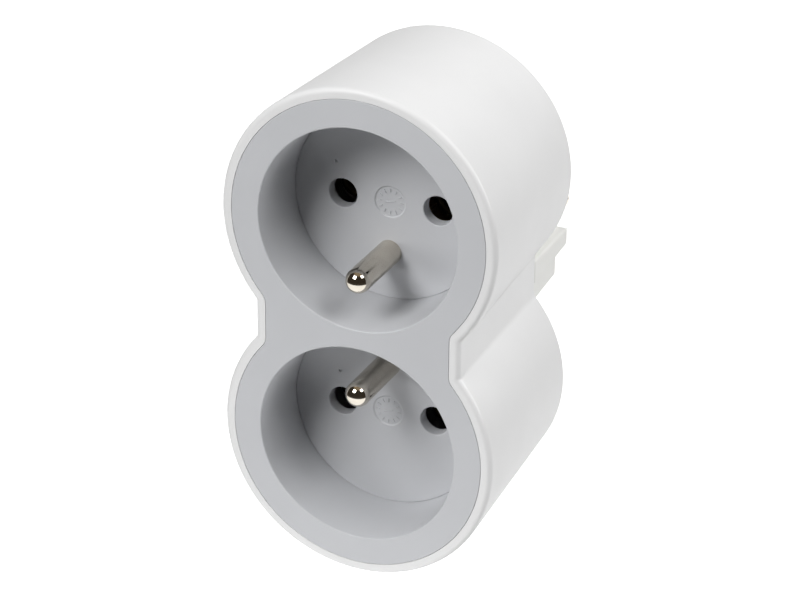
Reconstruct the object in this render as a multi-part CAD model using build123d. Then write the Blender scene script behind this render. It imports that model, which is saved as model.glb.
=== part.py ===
from build123d import *
import os
from math import radians, sqrt, tan

# Two-socket plug-in adapter for round recessed sockets with a standing earth pin.
# Millimetres. The origin is the middle of the plug's end face, midway between its pins.
# +X is right as seen from the front, +Y goes into the wall, +Z is up.

# Body
socket_spacing = 43.0
lobe_radius = 27.05
waist_notch = 6.65
waist_corner = 0.8
body_depth = 40.2
body_draft = 2.55
rim_width = 1.75
rim_round = 1.1
shell_wall = 2.6
rear_rim_width = 1.5
rear_round = 0.3
seam_gap = 0.15

# Front insert
face_thickness = 2.4
face_edge = 0.25
recess_radius = 19.58
recess_depth = 14.45
recess_draft = 1.1
recess_edge = 0.5
cup_wall = 1.6
floor_thickness = 2.5
hole_spacing = 19.0
hole_radius = 2.85
earth_offset = 10.0
post_radius = 2.4
post_inset = 11.0
pillar_radius = 3.6
pillar_inset = 14.55

# Plug base
plate_thickness = 2.4
boss_radius = 18.1
boss_length = 18.6
boss_rib = 3.6
boss_step = 17.6
boss_draft = 2.0
boss_corner = 0.5
boss_edge = 0.4
boss_wall = 2.0
boss_end_wall = 2.4
tube_wall = 1.8
pad_width = 6.4
pad_length = 3.6
pad_offset = 7.0
earth_entry_radius = 2.8
earth_seat_lift = 1.0

# Metal
strip_thickness = 0.8
bar_width = 6.4
bar_lift = 2.0
bar_end = 10.0
earth_bar_width = 7.0
earth_bar_end = 3.6
earth_web_offset = 5.0
fold_radius = 1.2
plug_pin_radius = 2.4
plug_pin_length = 18.5
earth_pin_radius = 2.4
earth_pin_proud = 1.3
neck_step = 0.4
collar_radius = 3.6
earth_collar = 1.0
tail_radius = 1.6
tail_head_radius = 2.8
tail_head = 0.7

# Contact sleeves
sleeve_radius = 3.4
sleeve_bore = 2.45
sleeve_lead = 0.45
sleeve_gap = 4.0
sleeve_floor = 1.1
slot_width = 0.8
slot_length = 10.0
groove_setback = 2.2
groove_depth = 0.3
ring_width = 0.9
ring_thickness = 0.75
ring_opening = 40.0
receptacle_floor = 4.0

# Screws
screw_radius = 1.45
screw_length = 16.0
screw_point = 2.0
screw_head_radius = 2.8
screw_head = 2.0
screw_head_sink = 0.2
screw_cross_width = 0.8
screw_cross_length = 3.4
screw_cross_depth = 1.1
screw_seat_radius = 5.0
screw_seat = 2.0

# Fits
slip = 0.1
press = 0.02

# Stations along the depth, front to rear
rear_y = -boss_length
face_y = rear_y - body_depth
ledge_y = face_y + face_thickness
floor_y = face_y + recess_depth
floor_back_y = floor_y + floor_thickness
plate_front_y = rear_y - plate_thickness
bar_rear_y = plate_front_y - bar_lift
bar_front_y = bar_rear_y - strip_thickness
earth_front_y = floor_back_y + earth_collar
earth_leg_rear_y = plate_front_y - earth_seat_lift
screw_seat_y = plate_front_y - screw_seat
head_seat_y = rear_y - screw_head - screw_head_sink

# Stations across the front, and the spring rings' seat
sockets = {"upper": 1, "lower": -1}
sides = {"left": -1, "right": 1}
socket_z = socket_spacing / 2
hole_x = hole_spacing / 2
earth_pin_z = socket_z - earth_offset
pillar_z = socket_z + lobe_radius - pillar_inset
post_z = socket_z - post_inset
earth_web_z = earth_pin_z + earth_web_offset
ring_bore = sleeve_radius - groove_depth + press


def front_plane(y):
    """Sketch plane at depth y that faces the user, with X right and Z up."""
    return Plane.XZ.offset(-y)


def rear_plane(y):
    """Sketch plane at depth y that faces the wall, with Z up."""
    return Plane(origin=(0, y, 0), x_dir=(-1, 0, 0), z_dir=(0, 1, 0))


def slab(sketch, front, rear):
    """Straight body of a sketch between two depths."""
    return extrude(front_plane(rear) * sketch, amount=rear - front)


def drafted(sketch, front, rear, draft):
    """Body of a sketch that narrows from its front to its rear."""
    return extrude(rear_plane(front) * sketch, amount=rear - front, taper=draft)


def disc(x, z, radius):
    return Pos(x, z) * Circle(radius)


def rod(x, z, radius, front, rear):
    return slab(disc(x, z, radius), front, rear)


def turned(points, x, z):
    """Turned piece from a half section of (radius, depth) points, with its axis along the depth."""
    return Pos(x, 0, z) * revolve(make_face(Polyline(points, close=True)), Axis.Y)


def narrowing(depth):
    """How far the drafted wall has come in at a depth behind the face."""
    return depth * tan(radians(body_draft))


def figure_eight(inset):
    """Two lobes and a waist, parallel to the front outline at an inset, with rounded valleys."""
    radius = lobe_radius - inset
    half = lobe_radius - waist_notch - inset
    lobes = disc(0, socket_z, radius) + disc(0, -socket_z, radius)
    outline = lobes + Rectangle(2 * half, socket_spacing)
    valleys = [v for v in outline.vertices() if abs(abs(v.X) - half) < 1e-4 and abs(v.Y) < socket_z]
    return fillet(valleys, waist_corner + inset)


def outer_shell():
    """Drafted sleeve with a rebate in front for the insert and one behind for the base."""
    body = drafted(figure_eight(0), face_y, rear_y, body_draft)
    front_rim = body.faces().sort_by(Axis.Y)[0].edges()
    body = fillet(front_rim, rim_round)
    rear_rim = body.faces().sort_by(Axis.Y)[-1].edges()
    body = fillet(rear_rim, rear_round)
    rear_inset = narrowing(body_depth) + rear_rim_width
    cavity_inset = shell_wall + narrowing(face_thickness)
    body -= slab(figure_eight(rim_width), face_y - 1, ledge_y)
    body -= drafted(figure_eight(cavity_inset), ledge_y, plate_front_y, body_draft)
    body -= slab(figure_eight(rear_inset), plate_front_y, rear_y + 1)
    return body


def socket_insert():
    """Grey front plate with two drafted cups, and the pillars and posts that stand behind them."""
    body = slab(figure_eight(rim_width + seam_gap), face_y, ledge_y)
    edge = body.faces().sort_by(Axis.Y)[0].edges()
    body = fillet(edge, face_edge)
    for up in sockets.values():
        cup = disc(0, up * socket_z, recess_radius + cup_wall)
        body += drafted(cup, ledge_y - face_thickness / 2, floor_back_y, recess_draft)
    for up in sockets.values():
        recess = disc(0, up * socket_z, recess_radius)
        body -= drafted(recess, face_y, floor_y, recess_draft)
    mouths = body.edges().filter_by(GeomType.CIRCLE).filter_by(lambda e: abs(e.radius - recess_radius) < 1e-3)
    body = fillet(mouths, recess_edge)
    for up in sockets.values():
        body += rod(0, up * pillar_z, pillar_radius, floor_back_y, screw_seat_y)
        body -= rod(0, up * pillar_z, screw_radius + press, head_seat_y - screw_length - slip, screw_seat_y)
        body -= rod(0, up * earth_pin_z, earth_pin_radius - neck_step + press, floor_y, floor_back_y)
        for side in sides.values():
            body += rod(side * hole_x, up * post_z, post_radius, floor_back_y, bar_front_y)
            body -= rod(side * hole_x, up * socket_z, hole_radius, floor_y, floor_back_y)
    return body


def boss_outline(grow):
    """Stepped cross whose corners all touch one circle, so that the boss centres in a round recess."""
    outline = Sketch()
    for height in (boss_rib, boss_step):
        half = height / 2
        reach = sqrt(boss_radius ** 2 - half ** 2)
        outline += Rectangle(2 * (reach + grow), 2 * (half + grow))
        outline += Rectangle(2 * (half + grow), 2 * (reach + grow))
    limit = boss_radius - boss_corner
    inner = [v for v in outline.vertices() if Vector(v.X, v.Y).length < limit]
    outline = fillet(inner, boss_corner)
    outer = [v for v in outline.vertices() if Vector(v.X, v.Y).length > limit]
    return fillet(outer, boss_corner + grow)


def boss_hollow():
    """Space inside the boss, one wall in from its two broad bars."""
    half = boss_step / 2 - boss_wall
    reach = sqrt(boss_radius ** 2 - (boss_step / 2) ** 2) - boss_wall
    return Rectangle(2 * reach, 2 * half) + Rectangle(2 * half, 2 * reach)


def plug_base():
    """Rear plate with the stepped plug boss, hollow inside round the pin tubes and the earth chamber."""
    plate = figure_eight(narrowing(body_depth) + rear_rim_width + seam_gap)
    chamber_radius = ring_bore + ring_thickness + slip
    neck_radius = plug_pin_radius - neck_step
    end_wall_y = -boss_end_wall
    boss = drafted(boss_outline(boss_length * tan(radians(boss_draft))), rear_y, 0, boss_draft)
    boss = fillet(boss.faces().sort_by(Axis.Y)[-1].edges(), boss_edge)
    body = slab(plate, plate_front_y, rear_y) + boss
    body -= slab(boss_hollow(), plate_front_y, end_wall_y)
    for side in sides.values():
        body += rod(side * hole_x, 0, neck_radius + tube_wall, plate_front_y, end_wall_y)
        body -= rod(side * hole_x, 0, neck_radius + press, plate_front_y, 0)
        for up in sockets.values():
            for along in (-1, 1):
                pad = Rectangle(pad_width, pad_length)
                pad_z = up * socket_z + along * pad_offset
                body += slab(Pos(side * hole_x, pad_z) * pad, bar_rear_y, plate_front_y)
    body += rod(0, earth_offset, chamber_radius + tube_wall, earth_leg_rear_y, end_wall_y)
    body -= rod(0, earth_offset, chamber_radius, earth_leg_rear_y, end_wall_y)
    body -= rod(0, earth_offset, earth_entry_radius, end_wall_y, 0)
    for up in sockets.values():
        body += rod(0, up * pillar_z, screw_seat_radius, screw_seat_y, plate_front_y)
        body -= rod(0, up * pillar_z, screw_radius + slip, screw_seat_y, rear_y)
        body -= rod(0, up * pillar_z, screw_head_radius + slip, head_seat_y, rear_y)
    return body


def contact_bar(side):
    """Flat strip that joins two contact sleeves and one plug pin."""
    length = socket_spacing + 2 * bar_end
    strip = Pos(side * hole_x, 0) * SlotOverall(length, bar_width, rotation=90)
    for z in (-socket_z, 0, socket_z):
        strip -= disc(side * hole_x, z, tail_radius + press)
    return slab(strip, bar_front_y, bar_rear_y)


def earth_bar():
    """Strip folded twice: the front leg carries both earth pins, the rear leg the receptacle."""
    front = earth_front_y + strip_thickness / 2
    rear = earth_leg_rear_y - strip_thickness / 2
    top = earth_web_z
    foot = -earth_pin_z - earth_bar_end
    toe = earth_offset - earth_bar_end
    path = FilletPolyline((front, foot), (front, top), (rear, top), (rear, toe), radius=fold_radius)
    body = extrude(Plane.YZ * trace(path, strip_thickness), amount=earth_bar_width / 2, both=True)
    for up in sockets.values():
        body -= rod(0, up * earth_pin_z, tail_radius + press, earth_front_y, earth_front_y + strip_thickness)
    body -= rod(0, earth_offset, tail_radius + press, earth_leg_rear_y - strip_thickness, earth_leg_rear_y)
    return body


def contact_sleeve(x, z, mouth, seat, floor):
    """Slotted sleeve from its mouth to the strip that it sits on, with its tail headed over behind."""
    way = 1 if seat > mouth else -1
    far = seat + way * strip_thickness
    groove = mouth + way * groove_setback
    waist = sleeve_radius - groove_depth
    points = [
        (0, seat - way * floor),
        (sleeve_bore, seat - way * floor),
        (sleeve_bore, mouth + way * sleeve_lead),
        (sleeve_bore + sleeve_lead, mouth),
        (sleeve_radius, mouth),
        (sleeve_radius, groove - way * ring_width / 2),
        (waist, groove - way * ring_width / 2),
        (waist, groove + way * ring_width / 2),
        (sleeve_radius, groove + way * ring_width / 2),
        (sleeve_radius, seat),
        (tail_radius, seat),
        (tail_radius, far),
        (tail_head_radius, far),
        (tail_head_radius, far + way * tail_head),
        (0, far + way * tail_head),
    ]
    body = turned(points, x, z)
    low, high = sorted((mouth, mouth + way * slot_length))
    for slot in (Rectangle(2 * sleeve_radius, slot_width), Rectangle(slot_width, 2 * sleeve_radius)):
        body -= slab(Pos(x, z) * slot, low, high)
    return body


def spring_ring(x, z, mouth, way):
    """Open ring of square wire in the groove of a slotted sleeve."""
    middle = ring_bore + ring_thickness / 2
    wire = Pos(middle, mouth + way * groove_setback) * Rectangle(ring_thickness, ring_width - 2 * press)
    return Pos(x, 0, z) * Rot(0, ring_opening / 2, 0) * revolve(wire, Axis.Y, 360 - ring_opening)


def round_nose(radius, start, tip):
    """Quarter arc of a half section, from a rod's side to its tip."""
    middle = radius * sqrt(0.5)
    way = 1 if tip > start else -1
    return ThreePointArc((radius, start), (middle, start + way * middle), (0, tip))


def headed_pin(x, z, radius, tip, shoulder, collar_front, collar_rear, tail_end):
    """Round-nosed pin with a moulded-in neck, a collar, and a tail that is headed over behind the strip."""
    nose = tip - radius if tip > collar_rear else tip + radius
    near, far = (collar_rear, collar_front) if tip > collar_rear else (collar_front, collar_rear)
    way = 1 if tail_end > far else -1
    side = Polyline(
        (0, tip),
        (0, tail_end + way * tail_head),
        (tail_head_radius, tail_end + way * tail_head),
        (tail_head_radius, tail_end),
        (tail_radius, tail_end),
        (tail_radius, far),
        (collar_radius, far),
        (collar_radius, near),
        (radius - neck_step, near),
        (radius - neck_step, shoulder),
        (radius, shoulder),
        (radius, nose),
    )
    return Pos(x, 0, z) * revolve(make_face(side + round_nose(radius, nose, tip)), Axis.Y)


def plug_pin(side):
    return headed_pin(
        side * hole_x, 0, plug_pin_radius, plug_pin_length, 0, bar_rear_y, plate_front_y, bar_front_y
    )


def earth_pin(up):
    tail_end = earth_front_y + strip_thickness
    tip = face_y - earth_pin_proud
    return headed_pin(
        0, up * earth_pin_z, earth_pin_radius, tip, floor_y, floor_back_y, earth_front_y, tail_end
    )


def screw(up):
    """Pan-headed screw from the rear, through the base and into the insert's pillar."""
    tip = head_seat_y - screw_length
    points = [
        (0, tip),
        (screw_radius, tip + screw_point),
        (screw_radius, head_seat_y),
        (screw_head_radius, head_seat_y),
        (screw_head_radius, head_seat_y + screw_head),
        (0, head_seat_y + screw_head),
    ]
    body = turned(points, 0, up * pillar_z)
    bottom = head_seat_y + screw_head - screw_cross_depth
    cross = Rectangle(screw_cross_length, screw_cross_width) + Rectangle(screw_cross_width, screw_cross_length)
    return body - slab(Pos(0, up * pillar_z) * cross, bottom, rear_y)


sleeve_mouth_y = floor_back_y + sleeve_gap
receptacle_mouth_y = -boss_end_wall - sleeve_gap

nodes = {
    "outer_shell": outer_shell(),
    "socket_insert": socket_insert(),
    "plug_base": plug_base(),
    "earth_bar": earth_bar(),
    "earth_receptacle": contact_sleeve(0, earth_offset, receptacle_mouth_y, earth_leg_rear_y, receptacle_floor),
    "earth_receptacle_ring": spring_ring(0, earth_offset, receptacle_mouth_y, -1),
}
for side_name, side in sides.items():
    nodes[f"{side_name}_contact_bar"] = contact_bar(side)
    nodes[f"{side_name}_plug_pin"] = plug_pin(side)
for socket_name, up in sockets.items():
    nodes[f"{socket_name}_earth_pin"] = earth_pin(up)
    nodes[f"{socket_name}_screw"] = screw(up)
    for side_name, side in sides.items():
        place = (side * hole_x, up * socket_z)
        nodes[f"{socket_name}_{side_name}_sleeve"] = contact_sleeve(
            *place, sleeve_mouth_y, bar_front_y, sleeve_floor
        )
        nodes[f"{socket_name}_{side_name}_ring"] = spring_ring(*place, sleeve_mouth_y, 1)

os.makedirs("parts", exist_ok=True)
for name, solid in nodes.items():
    export_step(solid, f"parts/{name}.step")
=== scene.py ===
from math import atan2, cos, hypot, pi, radians, sin, sqrt, tan

import bmesh
import bpy
from mathutils import Euler, Matrix, Vector


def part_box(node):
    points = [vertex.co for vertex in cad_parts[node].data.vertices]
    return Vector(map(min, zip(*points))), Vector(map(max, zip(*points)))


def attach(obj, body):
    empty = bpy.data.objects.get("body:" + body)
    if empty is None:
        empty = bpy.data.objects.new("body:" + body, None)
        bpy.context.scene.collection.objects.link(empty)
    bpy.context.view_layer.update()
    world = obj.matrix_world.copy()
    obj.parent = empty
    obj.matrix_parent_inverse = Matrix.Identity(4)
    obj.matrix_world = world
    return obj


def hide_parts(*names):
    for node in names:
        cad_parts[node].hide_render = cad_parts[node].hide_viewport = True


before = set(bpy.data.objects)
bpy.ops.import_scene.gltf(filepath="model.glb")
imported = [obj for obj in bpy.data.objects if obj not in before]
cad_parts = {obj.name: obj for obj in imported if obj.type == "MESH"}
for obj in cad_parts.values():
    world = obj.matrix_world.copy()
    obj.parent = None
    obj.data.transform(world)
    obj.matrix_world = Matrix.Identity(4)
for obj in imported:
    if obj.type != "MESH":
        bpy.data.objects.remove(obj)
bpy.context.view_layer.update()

# Pieces are modelled in millimetres in the part's frame, and brought to metres when they are finished.
MM = 0.001

# Points nearer to each other than this count as one, and edges that turn further than this stay sharp.
CLOSE = 1e-4
SMOOTH_ANGLE = radians(32)

# Ways from the middle: up or down to a socket, left or right to a hole
sockets = {"upper": 1, "lower": -1}
sides = {"left": -1, "right": 1}

# How far a cutter or a joined piece runs past the face that it meets, and the least that it may
overlap = 1.0
hair = 0.004

# Play of a tight and of a loose hole
press = 0.02
slip = 0.1

# Steps of the turned forms, and segments of the rounds
round_steps = 160
pin_steps = 96
mark_steps = 96
hole_steps = 64
screw_steps = 48
gate_steps = 24
seam_segments = 2
rim_segments = 8
rear_segments = 4
face_segments = 3
mouth_segments = 6
boss_corner_segments = 4
boss_edge_segments = 3
nose_segments = 16
screw_head_segments = 4

# Depth stations, front to rear: the outer ones are read from the frame
shell_front, shell_rear = (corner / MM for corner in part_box("outer_shell"))
face_y = shell_front.y
rear_y = shell_rear.y
plug_end_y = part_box("plug_base")[1].y / MM
face_thickness = 2.4
plate_thickness = 2.4
recess_depth = 14.45
floor_thickness = 2.5
end_wall = 2.4
ledge_y = face_y + face_thickness
floor_y = face_y + recess_depth
floor_back_y = floor_y + floor_thickness
plate_front_y = rear_y - plate_thickness
inner_end_y = plug_end_y - end_wall

# Figure-eight outline: two lobes, and a small rounded valley on each side of the waist
socket_z = 21.5
lobe_radius = 27.05
waist_half_width = 20.4
valley_radius = 0.8
valley_x = waist_half_width + valley_radius
valley_drop = sqrt((lobe_radius + valley_radius) ** 2 - valley_x ** 2)
valley_z = socket_z - valley_drop
lobe_turn = atan2(valley_x, -valley_drop)
valley_turn = lobe_turn - pi / 2
lobe_steps = 88
valley_steps = 14

# Places of the holes, earth pins and screws, which the sockets and the plug share
hole_x = 9.5
earth_offset = 10.0
earth_z = socket_z - earth_offset
pillar_z = 34.0

# Shell
body_draft = radians(2.55)
rim_width = 2.05
rim_round = 1.1
rim_inner_edge = 0.08
shell_wall = 2.6
rear_rim_width = 1.5
rear_round = 0.12
seam_gap = 0.06

# Strips inside
strip_thickness = 0.8
bar_lift = 2.0
bar_front_y = plate_front_y - bar_lift - strip_thickness

# Insert
face_edge = 0.12
recess_radius = 19.58
recess_draft = radians(1.1)
recess_foot_radius = recess_radius - recess_depth * tan(recess_draft)
recess_edge = 0.28
floor_groove = 0.16
cup_wall = 1.6
hole_radius = 2.85
hole_edge = 0.25
post_radius = 2.4
post_drop = 11.0
pillar_radius = 3.6
screw_seat_height = 2.0
screw_seat_y = plate_front_y - screw_seat_height

# Moulding marks and gate pits in the recess floors
disc_radius = 3.15
disc_depth = 0.2
disc_slope = 0.25
tick_height = 0.14
tick_width = 0.42
tick_count = 12
tick_near = disc_radius * 0.56
tick_far = disc_radius * 0.82
tick_root = 0.5
tick_top_share = (0.8, 1, 0.3)
pointer_reach = disc_radius * 0.38
pointer_angle = radians(15)
gate_places = {"upper": (-10.85, 27.6), "lower": (-10.0, -15.2)}
gate_radius = 0.32
gate_foot_radius = gate_radius * 0.6
gate_depth = 0.3

# Plug base
boss_radius = 18.1
boss_rib = 3.6
boss_step = 17.6
boss_draft = radians(2.0)
boss_corner = 0.5
boss_edge = 0.4
boss_wall = 2.0
tube_wall = 1.8
chamber_radius = 3.97
earth_tube_lip = 1.0
earth_hole_radius = 2.8
head_hole_radius = 2.9
head_hole_depth = 2.2
pad_width = 6.4
pad_length = 3.6
pad_offset = 7.0
screw_seat_radius = 5.0

# Pins
pin_radius = 2.4
pin_length = 18.5
earth_pin_proud = 1.3
pin_nose = 2.36
neck_radius = 2.0
collar_radius = 3.6
earth_collar = 1.0
tail_radius = 1.6
tail_head_radius = 2.8
tail_head = 0.7

# Screws
screw_radius = 1.45
screw_length = 16.0
screw_point = 2.0
screw_head_radius = 2.8
screw_head = 2.0
screw_head_round = 0.6
screw_head_sink = 0.2
cross_length = 3.4
cross_width = 0.8
cross_depth = 1.1


def clear_selection():
    """Leaves edit mode, with nothing selected."""
    if bpy.context.object and bpy.context.object.mode != "OBJECT":
        bpy.ops.object.mode_set(mode="OBJECT")
    bpy.ops.object.select_all(action="DESELECT")


def take(piece):
    """Makes a piece the only selected one."""
    clear_selection()
    piece.select_set(True)
    bpy.context.view_layer.objects.active = piece


def choose(piece, test):
    """In edit mode, selects the vertices whose place passes a test."""
    mesh = bmesh.from_edit_mesh(piece.data)
    for vertex in mesh.verts:
        vertex.select = test(vertex.co)
    mesh.select_flush_mode()
    bmesh.update_edit_mesh(piece.data)


def choose_edges(piece, test):
    """In edit mode, selects the edges whose two ends pass a test."""
    bpy.ops.mesh.select_mode(type="EDGE")
    mesh = bmesh.from_edit_mesh(piece.data)
    for edge in mesh.edges:
        edge.select = test(*(vertex.co for vertex in edge.verts))
    mesh.select_flush_mode()
    bmesh.update_edit_mesh(piece.data)
    bpy.ops.mesh.select_mode(type="VERT")


def apply_modifiers(piece):
    """Makes a piece's modifiers part of its mesh."""
    take(piece)
    for modifier in list(piece.modifiers):
        bpy.ops.object.modifier_apply(modifier=modifier.name)


def close_mesh(piece):
    """Merges meeting points and turns every face outwards."""
    take(piece)
    bpy.ops.object.mode_set(mode="EDIT")
    bpy.ops.mesh.select_all(action="SELECT")
    bpy.ops.mesh.remove_doubles(threshold=CLOSE)
    bpy.ops.mesh.normals_make_consistent(inside=False)
    bpy.ops.object.mode_set(mode="OBJECT")


def draw_line(points):
    """Line through points, left in edit mode."""
    clear_selection()
    bpy.ops.mesh.primitive_plane_add(size=1)
    piece = bpy.context.object
    bpy.ops.object.mode_set(mode="EDIT")
    bpy.ops.mesh.merge(type="CENTER")
    bpy.ops.transform.translate(value=points[0])
    for here, there in zip(points, points[1:]):
        step = [b - a for a, b in zip(here, there)]
        bpy.ops.mesh.extrude_vertices_move(TRANSFORM_OT_translate={"value": step})
    return piece


def draw_section(points, rounds=(), closed=False):
    """Line of (radius, depth) points above the axis, with some corners rounded, left in edit mode."""
    piece = draw_line([(0, depth, radius) for radius, depth in points])
    if closed:
        ends = (points[0], points[-1])
        choose(piece, lambda co: any(hypot(co.z - r, co.y - y) < CLOSE for r, y in ends))
        bpy.ops.mesh.edge_face_add()
    for (radius, depth), size, segments in rounds:
        choose(piece, lambda co: hypot(co.z - radius, co.y - depth) < CLOSE)
        bpy.ops.mesh.bevel(offset=size, segments=segments, affect="VERTICES")
    bpy.ops.mesh.select_all(action="SELECT")
    return piece


def turn(points, rounds=(), x=0, z=0, steps=round_steps):
    """Turned piece: a section that starts and ends on the axis, spun round it."""
    piece = draw_section(points, rounds)
    bpy.ops.mesh.spin(steps=steps, angle=2 * pi, center=(0, 0, 0), axis=(0, -1, 0))
    bpy.ops.mesh.select_all(action="SELECT")
    bpy.ops.transform.translate(value=(x, 0, z))
    close_mesh(piece)
    return piece


def rod(x, z, radius, front, rear):
    """Plain round rod along the depth axis."""
    return turn([(0, front), (radius, front), (radius, rear), (0, rear)], x=x, z=z, steps=hole_steps)


def block(low, high):
    """Box between two corners."""
    clear_selection()
    centre = [(a + b) / 2 for a, b in zip(low, high)]
    bpy.ops.mesh.primitive_cube_add(size=1, location=centre)
    piece = bpy.context.object
    piece.scale = [b - a for a, b in zip(low, high)]
    bpy.ops.object.transform_apply(location=True, rotation=True, scale=True)
    return piece


def follow_outline(points, rounds=(), closed=False):
    """Takes a section round a lobe, back round a valley and down the waist, then mirrors the quarter."""
    piece = draw_section(points, rounds, closed)
    bpy.ops.transform.translate(value=(0, 0, socket_z))
    lobe_axis = (0, 0, socket_z)
    valley_axis = (valley_x, 0, valley_z)
    bpy.ops.mesh.spin(steps=lobe_steps, angle=lobe_turn, center=lobe_axis, axis=(0, -1, 0))
    bpy.ops.mesh.spin(steps=valley_steps, angle=valley_turn, center=valley_axis, axis=(0, 1, 0))
    bpy.ops.mesh.extrude_region_move(TRANSFORM_OT_translate={"value": (0, 0, -valley_z)})
    mirror = piece.modifiers.new("four_quarters", "MIRROR")
    mirror.use_axis = (True, False, True)
    mirror.merge_threshold = CLOSE
    apply_modifiers(piece)
    return piece


def fill_and_raise(piece, depth):
    """Fills a closed flat line with a face, and raises it to a block along the depth axis."""
    take(piece)
    bpy.ops.object.mode_set(mode="EDIT")
    bpy.ops.mesh.select_all(action="SELECT")
    bpy.ops.mesh.edge_face_add()
    bpy.ops.mesh.extrude_region_move(TRANSFORM_OT_translate={"value": (0, depth, 0)})
    close_mesh(piece)


def outline_plate(inset, front, rear):
    """Flat plate with the outline at an inset."""
    piece = follow_outline([(lobe_radius - inset, front)])
    fill_and_raise(piece, rear - front)
    return piece


def stepped_prism(corners, front, rear):
    """Block with a stepped outline: one quarter's corners, from the x axis to the z axis, in all four."""
    upper_half = corners + [(-x, z) for x, z in reversed(corners)]
    points = upper_half + [(-x, -z) for x, z in upper_half]
    piece = draw_line([(x, front, z) for x, z in points])
    fill_and_raise(piece, rear - front)
    return piece


def combine(piece, operation, others):
    """Adds other pieces to a piece, or cuts them out of it."""
    for other in others:
        boolean = piece.modifiers.new("combine", "BOOLEAN")
        boolean.operation = operation
        boolean.solver = "MANIFOLD"
        boolean.object = other
        apply_modifiers(piece)
        bpy.data.objects.remove(other, do_unlink=True)


def fuse(piece, *others):
    combine(piece, "UNION", others)


def carve(piece, *others):
    combine(piece, "DIFFERENCE", others)


def flared_cutter(x, z, foot_radius, foot_y, mouth_radius, mouth_y, flare, groove=0.0, steps=hole_steps):
    """Cutter for a round hole with a rounded mouth, and for a fine groove round its foot."""
    out = 1 if mouth_y > foot_y else -1
    brim_y = mouth_y + out * hair
    top_y = mouth_y + out * 2 * overlap
    brim_radius = mouth_radius + 2 * flare
    mouth = (mouth_radius, brim_y)
    foot = [(0, foot_y), (foot_radius, foot_y)]
    if groove:
        foot[1:1] = [(foot_radius - groove, foot_y), (foot_radius - groove / 2, foot_y - out * groove)]
    points = foot + [mouth, (brim_radius, brim_y), (brim_radius, top_y), (0, top_y)]
    return turn(points, [(mouth, flare, mouth_segments)], x, z, steps)


def pit_cutter(x, z, mouth_radius, foot_radius, depth, steps):
    """Cutter for a shallow round pit with a sloping edge in a recess floor."""
    points = [
        (0, floor_y + depth),
        (foot_radius, floor_y + depth),
        (mouth_radius, floor_y + hair),
        (mouth_radius, floor_y - overlap),
        (0, floor_y - overlap),
    ]
    return turn(points, x=x, z=z, steps=steps)


def finish(piece, name, material, node):
    """Closes a piece, brings it to metres, smooths it and puts it in the place of its solid."""
    close_mesh(piece)
    piece.scale = (MM, MM, MM)
    bpy.ops.object.transform_apply(location=True, rotation=True, scale=True)
    bpy.ops.object.shade_smooth_by_angle(angle=SMOOTH_ANGLE)
    normals = piece.modifiers.new("flat_faces_stay_flat", "WEIGHTED_NORMAL")
    normals.keep_sharp = True
    apply_modifiers(piece)
    piece.name = name
    piece.data.name = name
    piece.data.materials.clear()
    piece.data.materials.append(material)
    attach(piece, "root")
    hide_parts(node)


def make_shell():
    """White sleeve with a rounded front rim, and rebates for the insert and the base."""
    narrowing = tan(body_draft)
    rear_radius = lobe_radius - (rear_y - face_y) * narrowing
    cavity_front = lobe_radius - shell_wall - face_thickness * narrowing
    cavity_rear = cavity_front - (plate_front_y - ledge_y) * narrowing
    rim_inside = lobe_radius - rim_width
    rear_inside = rear_radius - rear_rim_width
    front_inner = (rim_inside, face_y)
    front_outer = (lobe_radius, face_y)
    rear_outer = (rear_radius, rear_y)
    rear_inner = (rear_inside, rear_y)
    points = [
        front_inner,
        front_outer,
        rear_outer,
        rear_inner,
        (rear_inside, plate_front_y),
        (cavity_rear, plate_front_y),
        (cavity_front, ledge_y),
        (rim_inside, ledge_y),
    ]
    rounds = [
        (front_inner, rim_inner_edge, seam_segments),
        (front_outer, rim_round, rim_segments),
        (rear_outer, rear_round, rear_segments),
        (rear_inner, rim_inner_edge, seam_segments),
    ]
    return follow_outline(points, rounds, closed=True)


def cup_body(z):
    """Round body of a cup behind the front plate, before its recess is cut."""
    cup_front = ledge_y - face_thickness / 2
    points = [
        (0, cup_front),
        (recess_radius + cup_wall, cup_front),
        (recess_foot_radius + cup_wall, floor_back_y),
        (0, floor_back_y),
    ]
    return turn(points, z=z)


def mark_bar(z, angle, near, far):
    """Small bar along a spoke of a moulding mark, with sloping sides."""
    foot = floor_y + disc_depth
    top = foot - tick_height
    piece = block((near, top, -tick_width / 2), (far, foot + tick_root, tick_width / 2))
    bpy.ops.object.mode_set(mode="EDIT")
    choose(piece, lambda co: abs(co.y - top) < CLOSE)
    bpy.ops.transform.resize(value=tick_top_share)
    bpy.ops.mesh.select_all(action="SELECT")
    bpy.ops.transform.rotate(value=angle, orient_axis="Y", center_override=(0, 0, 0))
    bpy.ops.transform.translate(value=(0, 0, z))
    bpy.ops.object.mode_set(mode="OBJECT")
    return piece


def mark_ticks(z):
    """Raised ticks and a pointer bar that stand in a moulding mark."""
    bars = [mark_bar(z, pointer_angle, -pointer_reach, pointer_reach)]
    for tick in range(tick_count):
        bars.append(mark_bar(z, 2 * pi * tick / tick_count, tick_near, tick_far))
    take(bars[0])
    for bar in bars:
        bar.select_set(True)
    bpy.ops.object.join()
    return bars[0]


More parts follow.
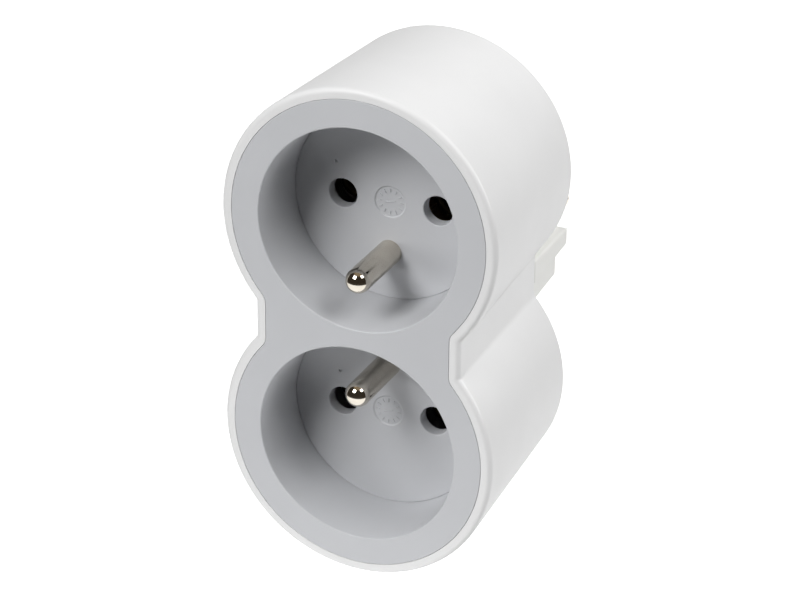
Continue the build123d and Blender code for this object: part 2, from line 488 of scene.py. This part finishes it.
def make_insert():
    """Grey front plate with two round cups, their holes and marks, and the pillars and posts behind."""
    piece = outline_plate(rim_width + seam_gap, face_y, ledge_y)
    bpy.ops.object.mode_set(mode="EDIT")
    choose(piece, lambda co: abs(co.y - face_y) < CLOSE)
    bpy.ops.mesh.bevel(offset=face_edge, segments=face_segments, affect="EDGES")
    inside = floor_back_y - overlap
    behind = floor_back_y + overlap
    screw_hole_end = rear_y - head_hole_depth - screw_length - slip
    for name, up in sockets.items():
        z = up * socket_z
        fuse(piece, cup_body(z), rod(0, up * pillar_z, pillar_radius, inside, screw_seat_y))
        recess = flared_cutter(
            0, z, recess_foot_radius, floor_y, recess_radius, face_y, recess_edge, floor_groove, round_steps
        )
        neck_hole = rod(0, up * earth_z, neck_radius + press, floor_y - overlap, behind)
        screw_hole = rod(0, up * pillar_z, screw_radius + press, screw_hole_end, screw_seat_y + overlap)
        carve(piece, recess, neck_hole, screw_hole)
        for side in sides.values():
            x = side * hole_x
            carve(piece, flared_cutter(x, z, hole_radius, behind, hole_radius, floor_y, hole_edge))
            fuse(piece, rod(x, z - up * post_drop, post_radius, inside, bar_front_y))
        mark = pit_cutter(0, z, disc_radius, disc_radius - disc_slope, disc_depth, mark_steps)
        gate = pit_cutter(*gate_places[name], gate_radius, gate_foot_radius, gate_depth, gate_steps)
        carve(piece, mark, gate)
        fuse(piece, mark_ticks(z))
    return piece


def make_boss():
    """Stepped plug boss that widens towards the plate, with every corner of its end on one circle."""
    rib, step = boss_rib / 2, boss_step / 2
    rib_reach, step_reach = (sqrt(boss_radius ** 2 - half ** 2) for half in (rib, step))
    corners = [
        (rib_reach, rib),
        (step_reach, rib),
        (step_reach, step),
        (step, step),
        (step, step_reach),
        (rib, step_reach),
        (rib, rib_reach),
    ]
    root_y = rear_y - press
    piece = stepped_prism(corners, root_y, plug_end_y)
    grow = (plug_end_y - root_y) * tan(boss_draft)
    bpy.ops.object.mode_set(mode="EDIT")
    for x in sides.values():
        for z in sockets.values():
            choose(piece, lambda co: co.y < rear_y and co.x * x > 0 and co.z * z > 0)
            bpy.ops.transform.translate(value=(x * grow, 0, z * grow))
    choose_edges(piece, lambda a, b: abs(a.y - b.y) > CLOSE)
    bpy.ops.mesh.bevel(offset=boss_corner, segments=boss_corner_segments, affect="EDGES")
    choose_edges(piece, lambda a, b: min(a.y, b.y) > plug_end_y - CLOSE)
    bpy.ops.mesh.bevel(offset=boss_edge, segments=boss_edge_segments, affect="EDGES")
    close_mesh(piece)
    return piece


def boss_hollow():
    """Cutter for the stepped hollow inside the boss."""
    half = boss_step / 2 - boss_wall
    reach = sqrt(boss_radius ** 2 - (boss_step / 2) ** 2) - boss_wall
    return stepped_prism([(reach, half), (half, half), (half, reach)], plate_front_y - overlap, inner_end_y)


def bar_pad(x, z):
    """Pad in front of the rear plate that a contact bar lies on."""
    low = (x - pad_width / 2, plate_front_y - bar_lift, z - pad_length / 2)
    high = (x + pad_width / 2, plate_front_y + press, z + pad_length / 2)
    return block(low, high)


def make_base():
    """Rear plate with the stepped plug boss, hollow behind round the pin tubes."""
    rear_inset = (rear_y - face_y) * tan(body_draft) + rear_rim_width + seam_gap
    piece = outline_plate(rear_inset, plate_front_y, rear_y)
    fuse(piece, make_boss())
    carve(piece, boss_hollow())
    tube_end = inner_end_y + overlap
    for side in sides.values():
        x = side * hole_x
        fuse(piece, rod(x, 0, neck_radius + tube_wall, plate_front_y, tube_end))
        carve(piece, rod(x, 0, neck_radius + press, plate_front_y - overlap, plug_end_y + overlap))
    lip_y = plate_front_y - earth_tube_lip
    fuse(piece, rod(0, earth_offset, chamber_radius + tube_wall, lip_y, tube_end))
    carve(piece, rod(0, earth_offset, chamber_radius, lip_y - overlap, inner_end_y))
    carve(piece, flared_cutter(
        0, earth_offset, earth_hole_radius, inner_end_y - overlap, earth_hole_radius, plug_end_y, hole_edge
    ))
    head_seat_y = rear_y - head_hole_depth
    for up in sockets.values():
        z = up * pillar_z
        fuse(piece, rod(0, z, screw_seat_radius, screw_seat_y, plate_front_y + press))
        carve(piece, rod(0, z, screw_radius + slip, screw_seat_y - overlap, rear_y + overlap))
        carve(piece, flared_cutter(0, z, head_hole_radius, head_seat_y, head_hole_radius, rear_y, hole_edge))
        for side in sides.values():
            for pad_z in (up * socket_z - pad_offset, up * socket_z + pad_offset):
                fuse(piece, bar_pad(side * hole_x, pad_z))
    return piece


def make_pin(x, z, tip, shoulder, collar, strip):
    """Round-nosed metal pin with its neck in the plastic, its collar, and its tail headed over a strip."""
    inward = 1 if shoulder > tip else -1
    tail_start = strip + inward * strip_thickness
    tail_end = tail_start + inward * tail_head
    nose = (pin_radius, tip)
    points = [
        (0, tip),
        nose,
        (pin_radius, shoulder),
        (neck_radius, shoulder),
        (neck_radius, collar),
        (collar_radius, collar),
        (collar_radius, strip),
        (tail_radius, strip),
        (tail_radius, tail_start),
        (tail_head_radius, tail_start),
        (tail_head_radius, tail_end),
        (0, tail_end),
    ]
    return turn(points, [(nose, pin_nose, nose_segments)], x, z, pin_steps)


def make_screw(up):
    """Pan-headed screw with a cross recess, sunk in the rear plate."""
    z = up * pillar_z
    head_y = rear_y - screw_head_sink
    seat_y = head_y - screw_head
    tip = seat_y - screw_length
    head_rim = (screw_head_radius, head_y)
    points = [
        (0, tip),
        (screw_radius, tip + screw_point),
        (screw_radius, seat_y),
        (screw_head_radius, seat_y),
        head_rim,
        (0, head_y),
    ]
    piece = turn(points, [(head_rim, screw_head_round, screw_head_segments)], 0, z, screw_steps)
    for wide, high in ((cross_length, cross_width), (cross_width, cross_length)):
        low_corner = (-wide / 2, head_y - cross_depth, z - high / 2)
        high_corner = (wide / 2, head_y + overlap, z + high / 2)
        carve(piece, block(low_corner, high_corner))
    return piece


# Materials. Most of a noise texture's values lie between these two.
noise_low = 0.3
noise_high = 0.7


def new_material(name):
    """Material with its nodes, links, shader and object coordinates."""
    material = bpy.data.materials.new(name)
    material.use_nodes = True
    nodes = material.node_tree.nodes
    shader = nodes["Principled BSDF"]
    place = nodes.new("ShaderNodeTexCoord")
    return material, nodes, material.node_tree.links, shader, place.outputs["Object"]


def noise(nodes, links, place, scale, detail=3.0):
    """Soft random pattern."""
    texture = nodes.new("ShaderNodeTexNoise")
    texture.inputs["Scale"].default_value = scale
    texture.inputs["Detail"].default_value = detail
    links.new(place, texture.inputs["Vector"])
    return texture.outputs["Fac"]


def stretched(nodes, links, place, stretch):
    """Coordinates scaled along each axis, so that a pattern runs in lines."""
    mapping = nodes.new("ShaderNodeMapping")
    mapping.inputs["Scale"].default_value = stretch
    links.new(place, mapping.inputs["Vector"])
    return mapping.outputs["Vector"]


def combine_values(nodes, links, operation, first, second):
    """Result of a calculation on two values, each a socket or a number."""
    math = nodes.new("ShaderNodeMath")
    math.operation = operation
    for socket, value in zip(math.inputs, (first, second)):
        if isinstance(value, float):
            socket.default_value = value
        else:
            links.new(value, socket)
    return math.outputs["Value"]


def blend_over(nodes, links, value, start, end, at_start, at_end):
    """Value that goes from one level to another over a stretch."""
    spread = nodes.new("ShaderNodeMapRange")
    spread.inputs["From Min"].default_value = start
    spread.inputs["From Max"].default_value = end
    spread.inputs["To Min"].default_value = at_start
    spread.inputs["To Max"].default_value = at_end
    links.new(value, spread.inputs["Value"])
    return spread.outputs["Result"]


def depth_from(nodes, links, place, middle_y):
    """How far each point lies from a depth, in metres."""
    axes = nodes.new("ShaderNodeSeparateXYZ")
    links.new(place, axes.inputs["Vector"])
    shifted = combine_values(nodes, links, "SUBTRACT", axes.outputs["Y"], middle_y)
    return combine_values(nodes, links, "ABSOLUTE", shifted, 0.0)


def tint(nodes, links, factor, dark, light, shader):
    """Colour between two tones along a factor: a slow random drift, or painted shade where the factor carries
    it.
    """
    ramp = nodes.new("ShaderNodeValToRGB")
    ramp.color_ramp.elements[0].position = noise_low
    ramp.color_ramp.elements[1].position = noise_high
    ramp.color_ramp.elements[0].color = (*dark, 1)
    ramp.color_ramp.elements[1].color = (*light, 1)
    links.new(factor, ramp.inputs["Fac"])
    links.new(ramp.outputs["Color"], shader.inputs["Base Color"])


def sheen(nodes, links, factor, smooth, rough, shader):
    """Roughness that drifts between two values."""
    links.new(blend_over(nodes, links, factor, 0.0, 1.0, smooth, rough), shader.inputs["Roughness"])


def relief(nodes, links, height, strength, distance, shader):
    """Fine bumps from a pattern."""
    bump = nodes.new("ShaderNodeBump")
    bump.inputs["Strength"].default_value = strength
    bump.inputs["Distance"].default_value = distance
    links.new(height, bump.inputs["Height"])
    links.new(bump.outputs["Normal"], shader.inputs["Normal"])
    return bump


def moulded_plastic(name, dark, light, smooth, rough, grain_scale):
    """Moulded plastic with a fine eroded grain and slow drifts of tone and sheen."""
    tone_scale = 55
    sheen_scale = 240
    grain_strength = 0.35
    grain_depth = 0.00002
    material, nodes, links, shader, place = new_material(name)
    tint(nodes, links, noise(nodes, links, place, tone_scale), dark, light, shader)
    sheen(nodes, links, noise(nodes, links, place, sheen_scale), smooth, rough, shader)
    relief(nodes, links, noise(nodes, links, place, grain_scale), grain_strength, grain_depth, shader)
    return material


def plated_metal(name, dark, light, smooth, rough, mark_scale):
    """Plated metal with fine turning marks round the depth axis."""
    tone_scale = 300
    sheen_scale = 900
    round_axis = (0.06, 1.0, 0.06)
    mark_detail = 2
    mark_strength = 0.25
    mark_depth = 0.000004
    material, nodes, links, shader, place = new_material(name)
    shader.inputs["Metallic"].default_value = 1.0
    tint(nodes, links, noise(nodes, links, place, tone_scale), dark, light, shader)
    sheen(nodes, links, noise(nodes, links, place, sheen_scale), smooth, rough, shader)
    marks = noise(nodes, links, stretched(nodes, links, place, round_axis), mark_scale, mark_detail)
    relief(nodes, links, marks, mark_strength, mark_depth, shader)
    return material


def drawn_pin(name, dark, light, body_rough, nose_rough, middle_y, nose_start, nose_end):
    """Plated pin with a drawn grain along its body and a polished nose at its free end."""
    tone_scale = 300
    along_pin = (1.0, 0.03, 1.0)
    grain_scale = 5200
    body_grain = 0.5
    nose_grain = 0.04
    grain_depth = 0.00001
    material, nodes, links, shader, place = new_material(name)
    shader.inputs["Metallic"].default_value = 1.0
    tint(nodes, links, noise(nodes, links, place, tone_scale), dark, light, shader)
    away = depth_from(nodes, links, place, middle_y)
    rough = blend_over(nodes, links, away, nose_start, nose_end, body_rough, nose_rough)
    links.new(rough, shader.inputs["Roughness"])
    grain = noise(nodes, links, stretched(nodes, links, place, along_pin), grain_scale)
    bump = relief(nodes, links, grain, body_grain, grain_depth, shader)
    strength = blend_over(nodes, links, away, nose_start, nose_end, body_grain, nose_grain)
    links.new(strength, bump.inputs["Strength"])
    return material


def shaded_brass(name, painted_shade, bright, smooth, rough, middle_y, shade_start, shade_end):
    """Turned brass with painted shade: it darkens towards its mouths, where the holes shade it, in random
    patches.
    """
    sheen_scale = 900
    patch_scale = 420
    patch_least = 0.6
    material, nodes, links, shader, place = new_material(name)
    shader.inputs["Metallic"].default_value = 1.0
    sheen(nodes, links, noise(nodes, links, place, sheen_scale), smooth, rough, shader)
    # Painted shade: full brass colour near the middle depth, near black towards the mouths
    away = depth_from(nodes, links, place, middle_y)
    unshaded = blend_over(nodes, links, away, shade_start, shade_end, 1.0, 0.0)
    drift = noise(nodes, links, place, patch_scale)
    patches = blend_over(nodes, links, drift, noise_low, noise_high, patch_least, 1.0)
    tint(nodes, links, combine_values(nodes, links, "MULTIPLY", unshaded, patches), painted_shade, bright, shader)
    return material


# Depth midway between the tips of the socket pins and the plug pins, and how far from it the polish begins
pin_middle_y = (face_y - earth_pin_proud + pin_length) / 2
pin_reach = pin_length - pin_middle_y
polished_length = 2.7
polish_fade = 1.0
polish_end = pin_reach - polished_length
polish_start = polish_end - polish_fade

# Depth midway between the mouths of the socket sleeves and the earth receptacle, and where painted shade
# darkens them away from it
contact_middle_y = -22.1
shade_start = 4.0
shade_end = 12.0

white = moulded_plastic(
    "white_shell", dark=(0.765, 0.765, 0.765), light=(0.79, 0.79, 0.79),
    smooth=0.40, rough=0.50, grain_scale=5200
)
grey = moulded_plastic(
    "grey_front", dark=(0.53, 0.538, 0.556), light=(0.553, 0.561, 0.58),
    smooth=0.46, rough=0.56, grain_scale=4600
)
warm = moulded_plastic(
    "warm_white_base", dark=(0.78, 0.78, 0.755), light=(0.81, 0.81, 0.785),
    smooth=0.40, rough=0.50, grain_scale=5200
)
nickel = drawn_pin(
    "nickel_pin", dark=(0.57, 0.53, 0.46), light=(0.65, 0.605, 0.53), body_rough=0.24, nose_rough=0.07,
    middle_y=pin_middle_y * MM, nose_start=polish_start * MM, nose_end=polish_end * MM
)
# Socket contacts: brass with painted shade towards their mouths
brass = shaded_brass(
    "brass_contact", painted_shade=(0.06, 0.045, 0.025), bright=(0.70, 0.54, 0.30), smooth=0.34, rough=0.48,
    middle_y=contact_middle_y * MM, shade_start=shade_start * MM, shade_end=shade_end * MM
)
strip = plated_metal(
    "brass_strip", dark=(0.68, 0.52, 0.27), light=(0.76, 0.59, 0.33), smooth=0.28, rough=0.40, mark_scale=3000
)
spring = plated_metal(
    "spring_wire", dark=(0.46, 0.46, 0.47), light=(0.54, 0.54, 0.55), smooth=0.25, rough=0.35, mark_scale=6000
)
zinc = plated_metal(
    "zinc_screw", dark=(0.56, 0.57, 0.58), light=(0.66, 0.67, 0.68), smooth=0.26, rough=0.38, mark_scale=5000
)

# Pieces that take the place of their solids
finish(make_shell(), "shell", white, "outer_shell")
finish(make_insert(), "front_insert", grey, "socket_insert")
finish(make_base(), "rear_base", warm, "plug_base")
for name, up in sockets.items():
    pin = make_pin(
        0, up * earth_z, face_y - earth_pin_proud, floor_y, floor_back_y, floor_back_y + earth_collar
    )
    finish(pin, f"{name}_standing_pin", nickel, f"{name}_earth_pin")
    finish(make_screw(up), f"{name}_case_screw", zinc, f"{name}_screw")
for name, side in sides.items():
    pin = make_pin(side * hole_x, 0, pin_length, plug_end_y, plate_front_y, plate_front_y - bar_lift)
    finish(pin, f"{name}_round_pin", nickel, f"{name}_plug_pin")

# Inner metal that stays as its solids
finishes = {"_bar": strip, "_sleeve": brass, "_receptacle": brass, "_ring": spring}
for node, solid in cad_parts.items():
    for ending, material in finishes.items():
        if node.endswith(ending):
            solid.data.materials.clear()
            solid.data.materials.append(material)


def softbox(name, place, target, size, power, mirrored=True):
    """Square soft light aimed at a point, that shiny surfaces mirror or not."""
    lamp = bpy.data.lights.new(name, "AREA")
    lamp.shape = "SQUARE"
    lamp.size = size
    lamp.energy = power
    holder = bpy.data.objects.new(name, lamp)
    holder.location = place
    aim = Vector(target) - Vector(place)
    holder.rotation_euler = aim.to_track_quat("-Z", "Y").to_euler()
    holder.visible_camera = False
    holder.visible_glossy = mirrored
    bpy.context.scene.collection.objects.link(holder)


# Studio lights, in metres and watts, aimed at the middle of the body or at its lower front
middle = (0, -0.04, 0)
lower_front = (0, -0.055, -0.03)
softbox("key_light", place=(-0.29, -0.74, 0.65), target=middle, size=0.42, power=6.9)
softbox("second_key", place=(0.61, -0.24, 0.77), target=middle, size=0.36, power=4.3)
softbox("right_light", place=(0.85, 0.41, 0.30), target=middle, size=0.34, power=5.3)
softbox("left_fill", place=(-0.70, -0.74, 0.09), target=middle, size=0.40, power=2.0, mirrored=False)
softbox("bounce", place=(0.02, -0.13, -0.21), target=lower_front, size=0.12, power=0.30, mirrored=False)
softbox("back_light", place=(-0.15, 1.70, 0.25), target=middle, size=0.60, power=12.0, mirrored=False)


def white_for_sight(nodes, links):
    """1 for rays that show the background: straight, mirrored or through glass."""
    rays = nodes.new("ShaderNodeLightPath").outputs
    seen = combine_values(nodes, links, "MAXIMUM", rays["Is Camera Ray"], rays["Is Glossy Ray"])
    return combine_values(nodes, links, "MAXIMUM", seen, rays["Is Transmission Ray"])


def light_world():
    """World that is white to look at, and lights the piece only a little."""
    ambient = 0.03
    world = bpy.data.worlds.new("studio")
    world.use_nodes = True
    bpy.context.scene.world = world
    nodes, links = world.node_tree.nodes, world.node_tree.links
    background = nodes["Background"]
    background.inputs["Color"].default_value = (1, 1, 1, 1)
    level = blend_over(nodes, links, white_for_sight(nodes, links), 0.0, 1.0, ambient, 1.0)
    links.new(level, background.inputs["Strength"])


def lay_floor():
    """Pale floor that shows the shadow, and throws hardly any light back on the piece."""
    size = 60
    height = -0.32
    tone_scale = 3
    dark_tone = 0.80
    light_tone = 0.82
    thrown_back = 0.06
    own_light = 0.7
    clear_selection()
    bpy.ops.mesh.primitive_plane_add(size=size, location=(0, 0, height))
    floor = bpy.context.object
    floor.name = "floor"
    material, nodes, links, shader, place = new_material("pale_floor")
    seen = white_for_sight(nodes, links)
    drift = noise(nodes, links, place, tone_scale)
    tone = blend_over(nodes, links, drift, noise_low, noise_high, dark_tone, light_tone)
    share = blend_over(nodes, links, seen, 0.0, 1.0, thrown_back, 1.0)
    links.new(combine_values(nodes, links, "MULTIPLY", tone, share), shader.inputs["Base Color"])
    shader.inputs["Roughness"].default_value = 0.9
    shader.inputs["Emission Color"].default_value = (1, 1, 1, 1)
    glow = combine_values(nodes, links, "MULTIPLY", seen, own_light)
    links.new(glow, shader.inputs["Emission Strength"])
    floor.data.materials.append(material)


def hang_reflection_sheet():
    """Dark dome round the front that only mirrors see, with a skirt over the floor: a sheet of painted
    reflection standing for a dark room, with its own painted glow overhead.
    """
    radius = 1.8
    facing = radians(-55)
    setback = 0.9
    hem_z = -0.08
    skirt_drop = 0.2
    skirt_share = 0.42
    sheet_drift_scale = 4
    glow_start = 1.38
    glow_end = 1.62
    low_glow = 0.1
    clear_selection()
    bpy.ops.mesh.primitive_uv_sphere_add(segments=48, ring_count=24, radius=radius)
    reflection_sheet = bpy.context.object
    reflection_sheet.name = "painted_reflection_sheet"
    bpy.ops.object.mode_set(mode="EDIT")
    backward = Vector((-cos(facing), -sin(facing), 0))
    for point, outward in (((0, 0, hem_z), (0, 0, -1)), (backward * setback, backward)):
        bpy.ops.mesh.select_all(action="SELECT")
        bpy.ops.mesh.bisect(plane_co=point, plane_no=outward, clear_outer=True)
    choose(reflection_sheet, lambda co: co.z < hem_z + CLOSE)
    bpy.ops.mesh.extrude_region_move(TRANSFORM_OT_translate={"value": (0, 0, -skirt_drop)})
    bpy.ops.transform.resize(value=(skirt_share, skirt_share, 1), center_override=(0, 0, 0))
    bpy.ops.object.mode_set(mode="OBJECT")
    material, nodes, links, shader, place = new_material("painted_reflection_glow")
    sheet_drift = noise(nodes, links, place, sheet_drift_scale)
    # Near-black tone with a slight drift: painted reflection of a dark room, seen only in shiny parts
    tint(nodes, links, sheet_drift, dark=(0.03, 0.029, 0.027), light=(0.045, 0.043, 0.04), shader=shader)
    shader.inputs["Roughness"].default_value = 1.0
    # Painted light: the dome glows faintly warm low down and more overhead, so shiny parts mirror a paler sky
    shader.inputs["Emission Color"].default_value = (0.33, 0.26, 0.18, 1)
    axes = nodes.new("ShaderNodeSeparateXYZ")
    links.new(place, axes.inputs["Vector"])
    glow = blend_over(nodes, links, axes.outputs["Z"], glow_start, glow_end, low_glow, 1.0)
    links.new(glow, shader.inputs["Emission Strength"])
    reflection_sheet.data.materials.append(material)
    reflection_sheet.visible_camera = False
    reflection_sheet.visible_diffuse = False
    reflection_sheet.visible_shadow = False


def aim_camera():
    """Camera at the photograph's viewpoint, fitted to the rims, holes, pins and outline."""
    camera = bpy.data.objects.new("camera", bpy.data.cameras.new("camera"))
    camera.location = (0.197129, -0.479787, 0.233741)
    turn_left, look_down, roll = radians(24.118), radians(25.892), radians(0.62)
    aim = Euler((pi / 2 - look_down, 0, turn_left)).to_matrix()
    camera.rotation_euler = (aim @ Matrix.Rotation(roll, 3, "Z")).to_euler()
    camera.data.lens = 129.41
    camera.data.sensor_width = 36
    bpy.context.scene.collection.objects.link(camera)
    bpy.context.scene.camera = camera


light_world()
lay_floor()
hang_reflection_sheet()
aim_camera()
bpy.context.scene.view_settings.view_transform = "Standard"
